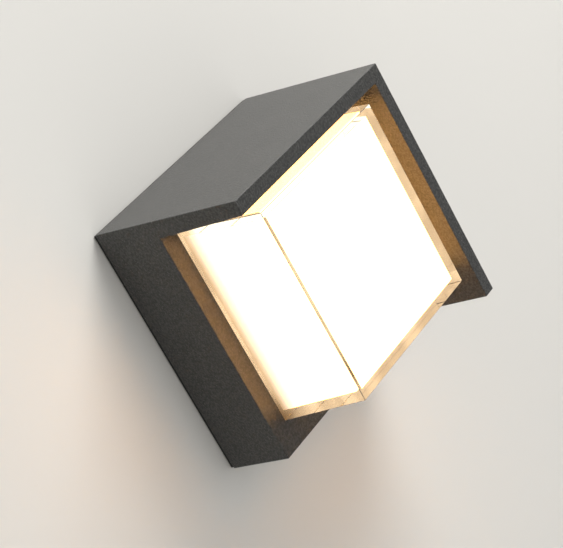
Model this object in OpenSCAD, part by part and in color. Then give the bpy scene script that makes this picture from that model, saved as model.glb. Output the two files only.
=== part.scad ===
// Outdoor wall light: a square cast hood set on its corner, with a lit block shade.
// Lamp axes, used by every module: x runs from the left corner to the apex side, y runs from
// the right corner to the apex side, and z is the distance from the wall. hang() turns them
// into the row frame: +Z up through the apex, the wall at Y = 0 and the front towards -Y.

/* [Housing] */
// Width of the square casting at its wall side
housing_w = 150; // [125:1:185]
// Depth of the casting from its rim to the hood's front edge
housing_depth = 97; // [80:1:120]
// Depth of the closed box behind the shade
box_depth = 40; // [33:1:50]
// Draft of the outer faces, in degrees
draft = 1.36; // [0.5:0.01:2]
// Wall of the back box
wall = 3; // [2.5:0.1:4]
// Wall between the box and the light chamber
front_wall = 4.5; // [4:0.1:6]
// Thickness of the two hood plates where they leave the box
hood_root = 10; // [8.4:0.1:12]
// Thickness of the two hood plates at their front edge
hood_edge = 8.4; // [6:0.1:10]

/* [Shade] */
// How far the shade stands out of the box
shade_proud = 54.7; // [44:0.1:56]
// Draft of the shade's sides, in degrees
shade_draft = 3; // [1:0.1:4]
// Wall of the clear outer shade
clear_wall = 4.8; // [3:0.1:6]
// Wall of the milky inner diffuser
milky_wall = 2; // [1.5:0.1:3]
// Gap from the shade to the upper left hood plate
roof_gap = 3.35; // [2:0.05:8]
// Gap from the shade to the upper right hood plate
side_gap = 6.65; // [2:0.05:10]
// Ledge of the box left of the shade
left_ledge = 12.65; // [8:0.05:20]
// Ledge of the box below the shade
low_ledge = 15.95; // [8:0.05:20]
// Depth of the groove that the shade stands in
groove_depth = 2; // [1.5:0.1:2.5]
// Height of the bosses that take the shade's screws
boss_h = 12; // [9:0.5:20]

/* [Wall plate and seals] */
// Half width of the square wall plate, from its middle to its flanges' outer face
plate_inset = 10.5; // [9.5:0.1:14]
// Thickness of the wall plate's sheet
plate_t = 1.8; // [1.5:0.1:2.5]
// Height of the plate's two flanges above the wall
flange_h = 14; // [13:0.5:18]
// Distance between the two wall screws
wall_hole_spacing = 70; // [60:1:76]
// Radius of the wall screw slots
wall_hole_r = 2.5; // [2:0.1:3]
// End to end length of a wall screw slot
slot_length = 14; // [8:0.5:18]
// Thickness of the rim gasket under the casting
rim_gasket_t = 2; // [1:0.1:3]
// Width of the rim gasket
rim_gasket_w = 5; // [3:0.1:6]
// Radius of the supply cable's hole in the grommet
cable_r = 4; // [3:0.1:5]

/* [Locking screws] */
// Distance between the two locking screws
lock_spacing = 70; // [50:1:80]
// Height of the locking screws above the wall
lock_z = 9.5; // [9:0.1:11]
// Radius of the locking screw's thread
lock_r = 2; // [1.5:0.1:2.5]
// Radius of the locking screw's head
lock_head_r = 3.5; // [3:0.1:4]
// Height of the locking screw's head
lock_head_h = 4; // [3:0.1:4.5]

/* [Light engine] */
// Distance between neighbouring light chips
chip_pitch = 13; // [10:0.5:18]
// Thickness of the chip board
board_t = 1.6; // [1:0.1:2.4]
// Thickness of the heat pad under the chip board
pad_t = 0.5; // [0.3:0.1:1]

/* [Driver and terminals] */
// Length of the driver's case
driver_l = 80; // [60:1:84]
// Width of the driver's case
driver_w = 36; // [30:1:40]
// Height of the driver's case
driver_h = 21; // [18:1:24]
// Length of the terminal block
terminal_l = 32; // [30:1:36]
// Width of the terminal block
terminal_w = 20; // [16:1:22]
// Height of the terminal block
terminal_h = 15; // [12:1:18]
// Radius of the insulated leads
lead_r = 0.9; // [0.7:0.1:1.1]

/* [Hidden] */
$fn = 48;
eps = 0.01;              // how far a cutter runs past the face it opens
fit = 0.05;              // radial room round a screw in its thread
bond = 0.05;             // glue line between the clear shade and the milky diffuser
seat = 0.3;              // room round a piece that drops into a groove
lift_room = 0.15;        // room between the wall plate's flange and what it meets
grey = [0.19, 0.19, 0.185];
steel = [0.72, 0.73, 0.75];
black = [0.06, 0.06, 0.06];
brass = [0.80, 0.62, 0.30];

// Heights above the wall
rim_z = rim_gasket_t;
box_z = rim_z + box_depth;
inner_z = box_z - front_wall;
hood_z = rim_z + housing_depth;
shade_z = box_z + shade_proud;
groove_z = box_z - groove_depth;
shade_gasket_t = 1;
shade_foot_z = groove_z + shade_gasket_t;

// Half width of the casting's outside and of its cavity at a height
function outer_half(z) = housing_w / 2 - (z - rim_z) * tan(draft);
function cavity_half(z) = outer_half(z) - wall;
// Where a hood plate's inner face lies: it tapers from its root to its front edge
function hood_inner(z) = let (root = outer_half(box_z) - hood_root, edge = outer_half(hood_z) - hood_edge)
    root + (edge - root) * (z - box_z) / (hood_z - box_z);

// The shade's outline at the box's front: its lowest and highest x and y
shade_lo = [-outer_half(box_z) + left_ledge, -outer_half(box_z) + low_ledge];
shade_hi = [hood_inner(box_z) - side_gap, hood_inner(box_z) - roof_gap];
shade_mid = (shade_lo + shade_hi) / 2;
// How much narrower the shade is on each side at a height, and the outline taken in by a wall
function shade_in(z) = (z - box_z) * tan(shade_draft);
function outline_lo(z, by) = shade_lo + [1, 1] * (shade_in(z) + by);
function outline_hi(z, by) = shade_hi - [1, 1] * (shade_in(z) + by);

// The light chamber inside the diffuser
chamber_by = clear_wall + bond + milky_wall;
chamber_half = (outline_hi(box_z, chamber_by) - outline_lo(box_z, chamber_by)) / 2;
screw_r = 1.5;
screw_head_r = 2.75;
screw_head_h = 2.1;
boss_r = 4;
boss_half = chamber_half - [1, 1] * (boss_r - 0.5);
boss_spots = [for (sx = [-1, 1], sy = [-1, 1]) shade_mid + [sx * boss_half.x, sy * boss_half.y]];
board_room = 0.8;        // room between the chip board and the bosses beside it
board_half = boss_half - [1, 1] * (boss_r + board_room);
chip_size = [2.8, 3.5, 0.7];
chip_edge = 7;           // least distance from a chip's middle to the board's edge
chip_room = norm(chip_size) / 2 + 0.7;
chips_across = floor(2 * (board_half.x - chip_edge) / chip_pitch) + 1;
chips_up = floor(2 * (board_half.y - chip_edge) / chip_pitch) + 1;
board_screw_in = 4.5;    // from the board's edges to its screws
board_screw_spots = [for (sx = [-1, 1], sy = [-1, 1])
    shade_mid + [sx * (board_half.x - board_screw_in), sy * (board_half.y - board_screw_in)]];
board_z = box_z + pad_t;
board_screw_l = 6;

// The hole that takes the two light leads through the front wall, in a notch of the board
lead_hole_r = 4;
lead_bore_r = 2 * lead_r + 0.4;
lead_hole = [shade_mid.x, shade_mid.y - board_half.y + 2];
notch_r = 7;
solder_spots = [for (s = [-1, 1]) lead_hole + [s * (notch_r + 5), 4]];

// A chip is left out where a screw, a soldered lead or the notch takes its place
function chip_fits(spot) = norm(spot - lead_hole) > notch_r + chip_room
    && min([for (p = board_screw_spots) norm(spot - p)]) > screw_head_r + chip_room
    && min([for (p = solder_spots) norm(spot - p)]) > 4 * lead_r + chip_room;

// The driver lies under the upper screws, the terminals above the lower ones
driver_mid = [0, shade_mid.y + boss_half.y - 14];
driver_wall = 1.6;
ear_l = 8;
ear_t = 2.5;
ear_w = 10;
driver_ears = [for (s = [-1, 1]) driver_mid + [s * (driver_l + ear_l) / 2, 0]];
driver_board_h = 4;      // top side of the circuit board's standoffs, from the mounting face
driver_board_t = 1.6;
driver_board_size = [driver_l - 8, driver_w - 8];
terminal_mid = [lead_hole.x - lead_hole_r - 5 - terminal_l / 2, shade_mid.y - boss_half.y + 12];
poles = [-10, 0, 10];    // x of the three poles from the block's middle
pole_h = 6;
clamp_mid = [lead_hole.x + 21, terminal_mid.y + 1];
clamp_screw_x = 9;
clamp_w = 8;
earth_mid = [lead_hole.x + 37, terminal_mid.y + 3];
earth_boss_h = 6;
earth_boss_r = 5;

// Wall plate and locking screws
plate_half = housing_w / 2 - plate_inset;
grommet_hole_r = 9;
lock_seal_t = 1;
lock_out = outer_half(lock_z) - 0.3;                 // the head's outer face
lock_seat = lock_out - lock_head_h - lock_seal_t;    // the bottom of its counterbore
lock_tip = plate_half + 0.1;                         // the tip just clears the flange
lock_boss_r = 6;
lock_boss_in = plate_half + 0.5;
rib_t = 3;

module hang() rotate([90, 0, 0]) rotate([0, 0, 45]) children();

// A block with flat tapering sides: outline lo to hi at z0, and LO to HI at z1
module taper(lo, hi, z0, LO, HI, z1) {
    polyhedron(
        points = [
            [lo.x, lo.y, z0], [hi.x, lo.y, z0], [hi.x, hi.y, z0], [lo.x, hi.y, z0],
            [LO.x, LO.y, z1], [HI.x, LO.y, z1], [HI.x, HI.y, z1], [LO.x, HI.y, z1]],
        faces = [[0, 1, 2, 3], [4, 7, 6, 5], [0, 4, 5, 1], [1, 5, 6, 2], [2, 6, 7, 3], [3, 7, 4, 0]]);
}

module square_taper(h0, z0, h1, z1) taper([-h0, -h0], [h0, h0], z0, [-h1, -h1], [h1, h1], z1);

// The shade's outline taken in by a wall, as a block from z0 to z1
module shade_block(by, z0, z1) {
    taper(outline_lo(z0, by), outline_hi(z0, by), z0, outline_lo(z1, by), outline_hi(z1, by), z1);
}

module rounded_sheet(half, t, r) {
    cube([2 * half.x, 2 * (half.y - r), t], center = true);
    cube([2 * (half.x - r), 2 * half.y, t], center = true);
    for (sx = [-1, 1], sy = [-1, 1]) translate([sx * (half.x - r), sy * (half.y - r), 0])
        cylinder(h = t, r = r, center = true);
}

module slot(length, r, t) {
    cube([length - 2 * r, 2 * r, t], center = true);
    for (s = [-1, 1]) translate([s * (length / 2 - r), 0, 0]) cylinder(h = t, r = r, center = true);
}

// A cross-recessed pan-head screw: head above z = 0, shank below
module pan_screw(length, r = screw_r, head_r = screw_head_r, head_h = screw_head_h) {
    difference() {
        union() {
            cylinder(h = head_h, r1 = head_r, r2 = head_r * 0.8);
            translate([0, 0, -length]) cylinder(h = length + eps, r = r);
        }
        for (a = [0, 90]) rotate([0, 0, a]) translate([0, 0, head_h])
            cube([head_r * 1.1, head_r * 0.3, head_h], center = true);
    }
}

// Places what is fastened to the back of the front wall: its z is the height off that wall
module behind_front_wall(spot = [0, 0]) translate([spot.x, spot.y, inner_z]) mirror([0, 0, 1]) children();

// Smooth route through control points, and a round lead swept along it
function spline(a, b, c, d, t) = 0.5 * (2 * b + (c - a) * t + (2 * a - 5 * b + 4 * c - d) * t * t
    + (3 * b - a - 3 * c + d) * t * t * t);
function route(p, steps) = let (n = len(p) - 1) [
    for (i = [0:n - 1], k = [0:steps - 1])
        spline(p[max(i - 1, 0)], p[i], p[i + 1], p[min(i + 2, n)], k / steps),
    p[n]];
function unit(v) = v / norm(v);
function heading(p, i) = unit(p[min(i + 1, len(p) - 1)] - p[max(i - 1, 0)]);
// A side vector that turns with the route as little as it can
function side_at(p, i) = i == 0
    ? let (t = heading(p, 0), a = abs(t.z) < 0.9 ? [0, 0, 1] : [1, 0, 0]) unit(cross(t, a))
    : let (s = side_at(p, i - 1), t = heading(p, i)) unit(s - t * (s * t));
module lead(points, r, steps = 5, sides = 8) {
    p = route(points, steps);
    n = len(p);
    rings = [for (i = [0:n - 1])
        let (s = side_at(p, i), t = heading(p, i), u = cross(t, s))
        for (k = [0:sides - 1]) p[i] + r * (cos(360 * k / sides) * s + sin(360 * k / sides) * u)];
    polyhedron(
        points = rings,
        faces = concat(
            [[for (k = [0:sides - 1]) k]],
            [[for (k = [sides - 1:-1:0]) (n - 1) * sides + k]],
            [for (i = [0:n - 2], k = [0:sides - 1])
                [i * sides + k, (i + 1) * sides + k, (i + 1) * sides + (k + 1) % sides,
                    i * sides + (k + 1) % sides]]));
}

// Sheet-steel plate that is screwed to the wall, bent up at two opposite sides
module wall_plate() color(steel) hang() difference() {
    union() {
        translate([0, 0, plate_t / 2]) rounded_sheet([plate_half, plate_half], plate_t, 6);
        for (s = [-1, 1]) translate([0, s * (plate_half - plate_t / 2), flange_h / 2])
            cube([2 * (plate_half - 8), plate_t, flange_h], center = true);
    }
    rotate([0, 0, -45]) for (s = [-1, 1]) translate([s * wall_hole_spacing / 2, 0, plate_t / 2])
        slot(slot_length, wall_hole_r, 2 * plate_t);
    translate([0, 0, -eps]) cylinder(h = plate_t + 2 * eps, r = grommet_hole_r);
}

// Rubber bush that guards the supply cable in the wall plate
module cable_grommet() color(black) hang() rotate_extrude() polygon([
    [cable_r, 0], [grommet_hole_r - 0.1, 0], [grommet_hole_r - 0.1, plate_t + 0.1],
    [grommet_hole_r + 2, plate_t + 0.1], [grommet_hole_r + 1.2, plate_t + 2.1], [cable_r + 2, 6],
    [cable_r, 6]]);

// Die-cast box with its two hood plates: one casting
module housing() color(grey) hang() difference() {
    union() {
        difference() {
            square_taper(outer_half(rim_z), rim_z, outer_half(hood_z), hood_z);
            open_corner();
            square_taper(cavity_half(rim_z), rim_z - eps, cavity_half(inner_z), inner_z);
        }
        for (s = [-1, 1]) translate([s * lock_spacing / 2, -lock_boss_in, lock_z]) rotate([90, 0, 0])
            cylinder(h = lock_out - 1 - lock_boss_in, r = lock_boss_r);
        for (s = [-1, 1]) translate([s * lock_spacing / 2 - rib_t / 2, plate_half + lift_room, rim_z + 1])
            cube([rib_t, outer_half(flange_h) - 1 - plate_half - lift_room, flange_h - rim_z - 1]);
        behind_front_wall(earth_mid) translate([0, 0, -eps])
            cylinder(h = earth_boss_h + eps, r = earth_boss_r);
    }
    shade_groove();
    lock_holes();
    for (p = boss_spots) translate([p.x, p.y, inner_z - eps])
        cylinder(h = front_wall + 2 * eps, r = screw_r + 4 * fit);
    for (p = board_screw_spots) translate([p.x, p.y, board_z + board_t - board_screw_l])
        cylinder(h = board_screw_l, r = screw_r + fit);
    translate([lead_hole.x, lead_hole.y, inner_z - eps]) cylinder(h = front_wall + 2 * eps, r = lead_hole_r);
    for (p = driver_ears) behind_front_wall(p) thread_hole(4);
    for (s = [-1, 1]) behind_front_wall(terminal_mid + [s * 5, 0]) thread_hole(4);
    for (s = [-1, 1]) behind_front_wall(clamp_mid + [0, s * clamp_screw_x]) thread_hole(4);
    behind_front_wall(earth_mid) translate([0, 0, earth_boss_h]) thread_hole(6, lock_r);
}

// A blind threaded hole that goes down from z = 0
module thread_hole(depth, r = screw_r) translate([0, 0, -depth]) cylinder(h = depth + eps, r = r + fit);

// The open corner in front of the box: all but the two hood plates
module open_corner() {
    far = housing_w;
    past = 10;
    taper([-far, -far], [1, 1] * hood_inner(box_z), box_z, [-far, -far],
        [1, 1] * hood_inner(hood_z + past), hood_z + past);
}

module shade_groove() difference() {
    shade_block(-seat, groove_z, box_z + 1);
    shade_block(chamber_by + seat, groove_z - 1, box_z + 2);
}

module lock_holes() {
    for (s = [-1, 1]) translate([s * lock_spacing / 2, 0, lock_z]) rotate([90, 0, 0]) {
        translate([0, 0, lock_boss_in - 1]) cylinder(h = housing_w, r = lock_r + fit);
        translate([0, 0, lock_seat]) cylinder(h = housing_w, r = lock_head_r + seat);
    }
}

// Foam rubber gasket between the casting's rim and the wall
module rim_gasket() color(black) hang() difference() {
    half = housing_w / 2 - 0.5;
    translate([-half, -half, 0]) cube([2 * half, 2 * half, rim_gasket_t]);
    translate([1, 1, 0] * -(half - rim_gasket_w) - [0, 0, 1])
        cube([2 * (half - rim_gasket_w), 2 * (half - rim_gasket_w), rim_gasket_t + 2]);
}

// Thick clear acrylic block shade, open at the back
module outer_shade() color([0.95, 0.93, 0.88, 0.35]) hang() difference() {
    shade_block(0, shade_foot_z, shade_z);
    shade_block(clear_wall, shade_foot_z - 1, shade_z - clear_wall);
}

// Milky diffuser lining the clear shade, with four screw bosses in its corners
module inner_diffuser() color([1, 0.97, 0.9]) hang() difference() {
    union() {
        difference() {
            shade_block(clear_wall + bond, shade_foot_z, shade_z - clear_wall - bond);
            shade_block(chamber_by, shade_foot_z - 1, shade_z - clear_wall - bond - milky_wall);
        }
        intersection() {
            for (p = boss_spots) translate([p.x, p.y, box_z]) cylinder(h = boss_h, r = boss_r);
            shade_block(chamber_by - milky_wall / 2, box_z - 1, shade_z - clear_wall - milky_wall);
        }
    }
    for (p = boss_spots) translate([p.x, p.y, box_z - eps]) cylinder(h = boss_h - 2, r = screw_r + fit);
}

// Silicone seal in the groove under the shade's foot
module shade_gasket() color([0.85, 0.85, 0.83]) hang() difference() {
    shade_block(0, groove_z, shade_foot_z);
    shade_block(chamber_by, groove_z - 1, shade_foot_z + 1);
}

shade_screw_l = front_wall + 9;
washer_t = 0.8;
module shade_screws() color(steel) hang() for (p = boss_spots)
    behind_front_wall(p) translate([0, 0, washer_t]) pan_screw(shade_screw_l);

module shade_screw_washers() color(black) hang() for (p = boss_spots) behind_front_wall(p)
    difference() {
        cylinder(h = washer_t, r = screw_head_r + 0.75);
        translate([0, 0, -1]) cylinder(h = washer_t + 2, r = screw_r + fit);
    }

module board_outline(t, by = 0) difference() {
    translate([shade_mid.x, shade_mid.y, t / 2]) rounded_sheet(board_half - [by, by], t, 3);
    translate([lead_hole.x, lead_hole.y, -1]) cylinder(h = t + 2, r = notch_r);
    translate([lead_hole.x - notch_r, lead_hole.y - 2 * notch_r, -1]) cube([2 * notch_r, 2 * notch_r, t + 2]);
    for (p = board_screw_spots) translate([p.x, p.y, -1]) cylinder(h = t + 2, r = screw_r + 4 * fit);
}

module led_board() color([0.95, 0.95, 0.93]) hang() translate([0, 0, board_z]) board_outline(board_t);

module thermal_pad() color([0.62, 0.66, 0.70]) hang() translate([0, 0, box_z]) board_outline(pad_t, 1);

module led_chips() color([0.98, 0.86, 0.45]) hang()
    for (i = [0:chips_across - 1], j = [0:chips_up - 1])
        let (x = (i - (chips_across - 1) / 2) * chip_pitch, y = (j - (chips_up - 1) / 2) * chip_pitch,
            spot = shade_mid + [x, y])
        if (chip_fits(spot))
            translate([spot.x, spot.y, board_z + board_t + chip_size.z / 2]) cube(chip_size, center = true);

module board_screws() color(steel) hang() for (p = board_screw_spots)
    translate([p.x, p.y, board_z + board_t]) pan_screw(board_screw_l - 0.3);

// Driver: a tray on two ears, with a lid towards the wall plate
module driver_case() color([0.92, 0.92, 0.90]) hang() behind_front_wall(driver_mid) difference() {
    union() {
        translate([0, 0, driver_h / 2]) cube([driver_l, driver_w, driver_h], center = true);
        for (s = [-1, 1]) {
            translate([s * (driver_l + ear_l / 2) / 2, 0, ear_t / 2])
                cube([ear_l / 2, ear_w, ear_t], center = true);
            translate([s * (driver_l + ear_l) / 2, 0, 0]) cylinder(h = ear_t, r = ear_w / 2);
        }
    }
    translate([0, 0, driver_wall + driver_h / 2])
        cube([driver_l - 2 * driver_wall, driver_w - 2 * driver_wall, driver_h], center = true);
    for (s = [-1, 1]) translate([s * (driver_l + ear_l) / 2, 0, -1])
        cylinder(h = ear_t + 2, r = screw_r + 4 * fit);
}

module driver_cover() color([0.92, 0.92, 0.90]) hang() behind_front_wall(driver_mid) {
    room = driver_wall + fit;
    translate([0, 0, driver_h - driver_wall / 2])
        cube([driver_l - 2 * room, driver_w - 2 * room, driver_wall], center = true);
}

module driver_board() color([0.10, 0.42, 0.22]) hang() behind_front_wall(driver_mid) {
    translate([0, 0, driver_board_h + driver_board_t / 2])
        cube([driver_board_size.x, driver_board_size.y, driver_board_t], center = true);
    for (sx = [-1, 1], sy = [-1, 1])
        translate([sx * (driver_board_size.x / 2 - 4), sy * (driver_board_size.y / 2 - 4), driver_wall])
            cylinder(h = driver_board_h - driver_wall + eps, r = 1.5);
}

part_h = driver_h - driver_wall - driver_board_h - driver_board_t - 1;
module driver_transformer() color([0.85, 0.75, 0.25]) hang() behind_front_wall(driver_mid)
    translate([-9, -9, driver_board_h + driver_board_t]) cube([20, 18, part_h - 1]);

module driver_capacitors() color([0.15, 0.20, 0.35]) hang() behind_front_wall(driver_mid)
    for (x = [-22, 24]) translate([x, 0, driver_board_h + driver_board_t]) cylinder(h = part_h, r = 5);

module driver_screws() color(steel) hang() for (p = driver_ears)
    behind_front_wall(p) translate([0, 0, ear_t]) pan_screw(ear_t + 3.5);

// Three-pole terminal block with brass clamps
module terminal_block() color([0.93, 0.93, 0.91]) hang() behind_front_wall(terminal_mid) difference() {
    translate([0, 0, terminal_h / 2]) cube([terminal_l, terminal_w, terminal_h], center = true);
    for (x = poles) {
        translate([x, 0, pole_h]) rotate([90, 0, 0]) cylinder(h = terminal_w + 2, r = 3.2, center = true);
        for (s = [-1, 1]) translate([x, s * 4.5, pole_h]) cylinder(h = terminal_h, r = 2);
    }
    for (s = [-1, 1]) translate([s * 5, 0, -1]) cylinder(h = terminal_h + 2, r = screw_r + 4 * fit);
    for (s = [-1, 1]) translate([s * 5, 0, terminal_h - 4]) cylinder(h = 5, r = screw_head_r + seat);
}

clamp_bar_l = terminal_w - 5;
module terminal_clamps() color(brass) hang() behind_front_wall(terminal_mid) for (x = poles) difference() {
    translate([x, 0, pole_h]) rotate([90, 0, 0]) cylinder(h = clamp_bar_l, r = 3.1, center = true);
    translate([x, 0, pole_h]) rotate([90, 0, 0]) cylinder(h = clamp_bar_l + 2, r = 1.9, center = true);
    for (s = [-1, 1]) translate([x, s * 4.5, pole_h]) cylinder(h = 5, r = 1.5 + fit);
    for (s = [-1, 1]) translate([s * 5, 0, -1]) cylinder(h = terminal_h + 2, r = screw_r + 4 * fit);
}

module terminal_screws() color(steel) hang() behind_front_wall(terminal_mid)
    for (x = poles, s = [-1, 1]) translate([x, s * 4.5, pole_h + 2]) difference() {
        cylinder(h = terminal_h - pole_h - 5, r = 1.5);
        translate([0, 0, terminal_h - pole_h - 5]) cube([4, 0.6, 1.6], center = true);
    }

module terminal_block_screws() color(steel) hang() for (s = [-1, 1])
    behind_front_wall(terminal_mid + [s * 5, 0]) translate([0, 0, terminal_h - 4])
        pan_screw(terminal_h - 0.5);

// Saddle that grips the supply cable inside the box
module cord_clamp() color([0.93, 0.93, 0.91]) hang() behind_front_wall(clamp_mid) difference() {
    union() {
        translate([0, 0, 1.5]) cube([clamp_w, 2 * clamp_screw_x + 8, 3], center = true);
        rotate([0, 90, 0]) cylinder(h = clamp_w, r = cable_r + 2.5, center = true);
    }
    translate([0, 0, -10]) cube([60, 60, 20], center = true);
    rotate([0, 90, 0]) cylinder(h = clamp_w + 2, r = cable_r + 0.2, center = true);
    for (s = [-1, 1]) translate([0, s * clamp_screw_x, -1]) cylinder(h = 6, r = screw_r + 4 * fit);
}

module cord_clamp_screws() color(steel) hang() for (s = [-1, 1])
    behind_front_wall(clamp_mid + [0, s * clamp_screw_x]) translate([0, 0, 3]) pan_screw(6.5);

lug_t = 0.8;
lug_l = 11;
module earth_lug() color(brass) hang() behind_front_wall(earth_mid) translate([0, 0, earth_boss_h])
    difference() {
        union() {
            cylinder(h = lug_t, r = 4);
            translate([-1.6, 0, 0]) cube([3.2, lug_l, lug_t]);
        }
        translate([0, 0, -1]) cylinder(h = 3, r = lock_r + fit);
    }

module earth_screw() color(brass) hang() behind_front_wall(earth_mid)
    translate([0, 0, earth_boss_h + lug_t]) pan_screw(6, lock_r, 3.6, 2.6);

// Where the leads start and end: a spot and a height off the front wall's back, in lamp axes
function back_point(spot, h) = [spot.x, spot.y, inner_z - h];
lead_gap = fit;          // between a lead's end and the face it meets
lead_part = 0.2;         // half the room between the two light leads in their bush
port_h = 12;             // height of the driver's lead outlets
port_y = 4;              // and their distance from its middle line
lane_x = driver_l / 2 + 14;
function port(side, dy, out = 0) =
    back_point(driver_mid + [side * (driver_l / 2 + lead_gap + out), dy], port_h);
function pole_point(i, out) = back_point(terminal_mid + [poles[i], clamp_bar_l / 2 - 3 + out], pole_h);

// Mains leads from the driver's left end down to the terminals: live outside, neutral inside
module mains_lead(pole, outer) {
    lead([
        port(-1, outer * port_y), port(-1, outer * port_y, 3), port(-1, outer * port_y, 7 + outer),
        back_point([-lane_x - 3 * outer, driver_mid.y - 11], port_h),
        back_point([-lane_x + 4 - 3 * outer, 0], 10),
        pole_point(pole, 20) + [-2, 0, -2], pole_point(pole, 11), pole_point(pole, 5),
        pole_point(pole, 0)], lead_r);
}
module live_lead() color([0.45, 0.25, 0.12]) hang() mains_lead(0, 1);
module neutral_lead() color([0.15, 0.30, 0.65]) hang() mains_lead(1, -1);

module earth_lead() color([0.35, 0.55, 0.15]) hang() lead([
    pole_point(2, 0), pole_point(2, 5), pole_point(2, 12),
    back_point([lead_hole.x - 7, terminal_mid.y + 25], 12),
    back_point([clamp_mid.x - 5, clamp_mid.y + 27], 13),
    back_point(earth_mid + [0, lug_l + 9], 9),
    back_point(earth_mid + [0, lug_l + 3], earth_boss_h + lug_t / 2),
    back_point(earth_mid + [0, lug_l + lead_gap], earth_boss_h + lug_t / 2)], lead_r);

// Low-voltage leads from the driver's right end, across and through the front wall to the board
module led_lead(s) {
    through = lead_hole + [s * (lead_r + lead_part), 0];
    solder_z = board_z + board_t + lead_r + fit;
    lead([
        port(1, s * port_y), port(1, s * port_y, 3), port(1, s * port_y, 7 + s),
        back_point([lane_x + 3 * s, driver_mid.y - 11], 11),
        back_point([lane_x - 4 + 3 * s, 9], 8),
        back_point([driver_l / 2 - 4, -3 * s], 6),
        back_point([lead_hole.x + 14, -4 - 3 * s], 5),
        back_point([lead_hole.x + 2.5 * s, lead_hole.y + 17], 5),
        back_point(through + [0, 3], 4.5), back_point(through, 2),
        back_point(through, -1), back_point(through, -front_wall - 0.8),
        [through.x + 2.5 * s, through.y + 0.6, solder_z + 2],
        [lead_hole.x + s * (notch_r + 2), lead_hole.y + 2.5, solder_z + 0.3],
        concat(solder_spots[s < 0 ? 0 : 1], solder_z)], lead_r);
}
module led_lead_positive() color([0.75, 0.08, 0.06]) hang() led_lead(1);
module led_lead_negative() color(black) hang() led_lead(-1);

// Soft bush for the two light leads
module lead_grommet() color(black) hang() translate([lead_hole.x, lead_hole.y, 0]) rotate_extrude() polygon([
    [lead_bore_r, inner_z - 0.9], [lead_hole_r + 0.8, inner_z - 0.9], [lead_hole_r + 0.8, inner_z],
    [lead_hole_r - fit, inner_z], [lead_hole_r - fit, box_z], [lead_hole_r + 0.8, box_z],
    [lead_hole_r + 0.8, box_z + 0.8], [lead_bore_r, box_z + 0.8]]);

// Socket-head screw that locks the casting to the wall plate's flange
module lock_screw(s) translate([s * lock_spacing / 2, 0, lock_z]) rotate([90, 0, 0]) difference() {
    union() {
        translate([0, 0, lock_tip]) cylinder(h = lock_out - lock_head_h - lock_tip + eps, r = lock_r);
        translate([0, 0, lock_out - lock_head_h]) cylinder(h = lock_head_h, r = lock_head_r);
    }
    translate([0, 0, lock_out - 2.4]) cylinder(h = 3, r = 1.75, $fn = 6);
}
module lock_screw_1() color(steel) hang() lock_screw(-1);
module lock_screw_2() color(steel) hang() lock_screw(1);

// Ring seal under the screw's head
module lock_seal(s) translate([s * lock_spacing / 2, 0, lock_z]) rotate([90, 0, 0])
    translate([0, 0, lock_seat + fit]) difference() {
        cylinder(h = lock_seal_t - 2 * fit, r = lock_head_r - 0.1);
        translate([0, 0, -1]) cylinder(h = lock_seal_t + 2, r = lock_r + fit);
    }
module lock_seal_1() color(black) hang() lock_seal(-1);
module lock_seal_2() color(black) hang() lock_seal(1);

wall_plate();
cable_grommet();
housing();
rim_gasket();
outer_shade();
inner_diffuser();
shade_gasket();
shade_screws();
shade_screw_washers();
led_board();
led_chips();
thermal_pad();
board_screws();
driver_case();
driver_cover();
driver_board();
driver_transformer();
driver_capacitors();
driver_screws();
terminal_block();
terminal_clamps();
terminal_screws();
terminal_block_screws();
cord_clamp();
cord_clamp_screws();
earth_lug();
earth_screw();
live_lead();
neutral_lead();
earth_lead();
led_lead_positive();
led_lead_negative();
lead_grommet();
lock_screw_1();
lock_screw_2();
lock_seal_1();
lock_seal_2();
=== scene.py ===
"""Looks of an outdoor wall light: a cast square hood set on its corner, with a lit block shade.

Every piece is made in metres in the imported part's frame: +Z up, the wall at Y = 0, the front towards -Y.
"""
import logging
import math
from collections.abc import Callable, Sequence
from dataclasses import dataclass, field
from enum import Enum
from typing import Any

import bmesh
import bpy
import numpy as np
from mathutils import Matrix, Vector


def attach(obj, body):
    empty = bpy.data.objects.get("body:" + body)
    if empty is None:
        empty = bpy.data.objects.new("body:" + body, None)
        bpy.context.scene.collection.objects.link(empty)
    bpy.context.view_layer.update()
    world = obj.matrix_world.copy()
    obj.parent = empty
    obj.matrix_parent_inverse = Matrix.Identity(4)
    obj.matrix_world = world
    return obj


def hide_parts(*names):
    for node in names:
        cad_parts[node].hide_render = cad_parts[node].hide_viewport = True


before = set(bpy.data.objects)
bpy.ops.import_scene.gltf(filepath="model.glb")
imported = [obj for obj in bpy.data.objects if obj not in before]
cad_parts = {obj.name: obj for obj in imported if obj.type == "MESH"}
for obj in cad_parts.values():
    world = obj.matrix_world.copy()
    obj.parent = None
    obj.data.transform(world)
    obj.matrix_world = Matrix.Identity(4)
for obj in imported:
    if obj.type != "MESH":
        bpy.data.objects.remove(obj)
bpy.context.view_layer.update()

LOG = logging.getLogger("wall_light")
MM = 0.001
Colour = tuple[float, float, float]
Point = tuple[float, float, float]


# ---------------------------------------------------------------- measuring the frame


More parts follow.
